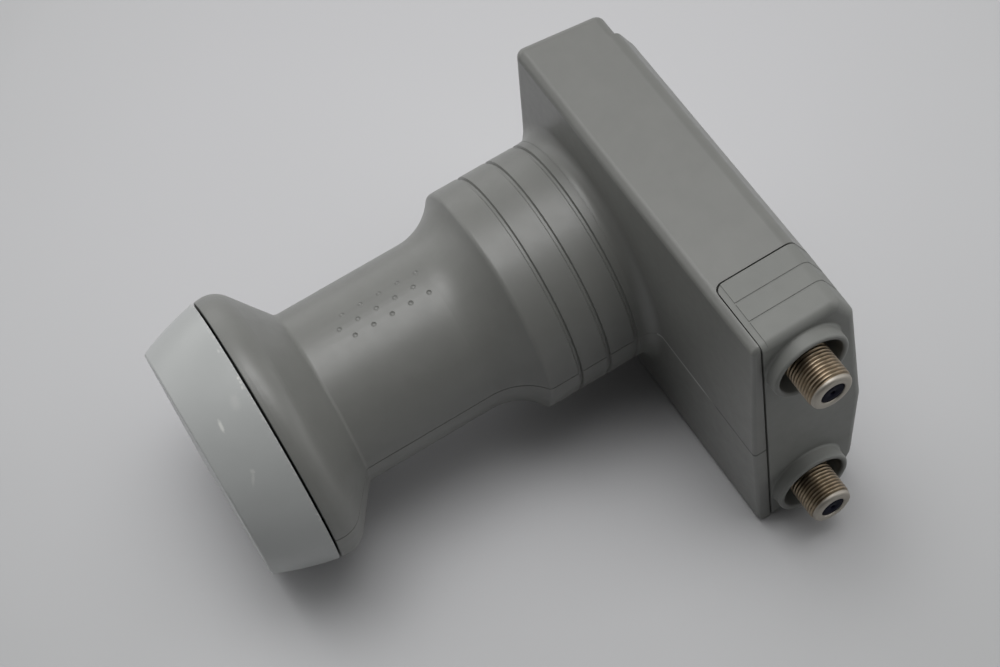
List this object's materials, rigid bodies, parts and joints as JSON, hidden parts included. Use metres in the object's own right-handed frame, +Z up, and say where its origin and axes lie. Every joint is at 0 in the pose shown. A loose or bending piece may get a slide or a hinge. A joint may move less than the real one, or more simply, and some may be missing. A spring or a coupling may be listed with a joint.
{
  "type": "satellite lnb",
  "caption": "Satellite dish receiver head with a white radome cap, flared horn, round clamp neck, grooved collar and flat box whose sliding weather shield covers threaded coaxial outputs.",
  "frame": {"origin": "on the neck's axis, at the middle of its clamp length", "axes": "+Y along the neck from the radome towards the box, +X the way the outputs point, +Z up with the part lying on the box's lower side and the horn's rim"},
  "size_m": [0.1036, 0.1206, 0.0724],
  "materials": {
    "radome": "semi-gloss white, lightly scuffed",
    "housing": "satin grey",
    "casting": "as cast",
    "board": "solder mask",
    "chip": "moulded",
    "steel": "zinc plated",
    "output": "nickel plated",
    "contact": "gold plated",
    "insulator": "moulded",
    "seal": "plain"
  },
  "bodies": {
    "housing": {"radome_cap": "radome", "radome_seal": "seal", "upper_shell": "housing", "lower_shell": "housing", "cast_chassis": "casting", "circuit_board": "board", "converter_chip": "chip", "reference_crystal": "steel", "regulators": "chip", "chassis_cover": "casting", "cover_gasket": "seal", "cover_screws": "steel", "housing_screws": "steel", "connector_barrel_1": "output", "connector_barrel_2": "output", "connector_insulator_1": "insulator", "connector_insulator_2": "insulator", "connector_contact_1": "contact", "connector_contact_2": "contact", "connector_seal_1": "seal", "connector_seal_2": "seal"},
    "shield": {"weather_shield": "housing"}
  },
  "joints": [
    {"name": "shield_slide", "type": "slide", "parent": "housing", "child": "shield", "axis": [1, 0, 0], "range_m": [0, 0.018]}
  ]
}
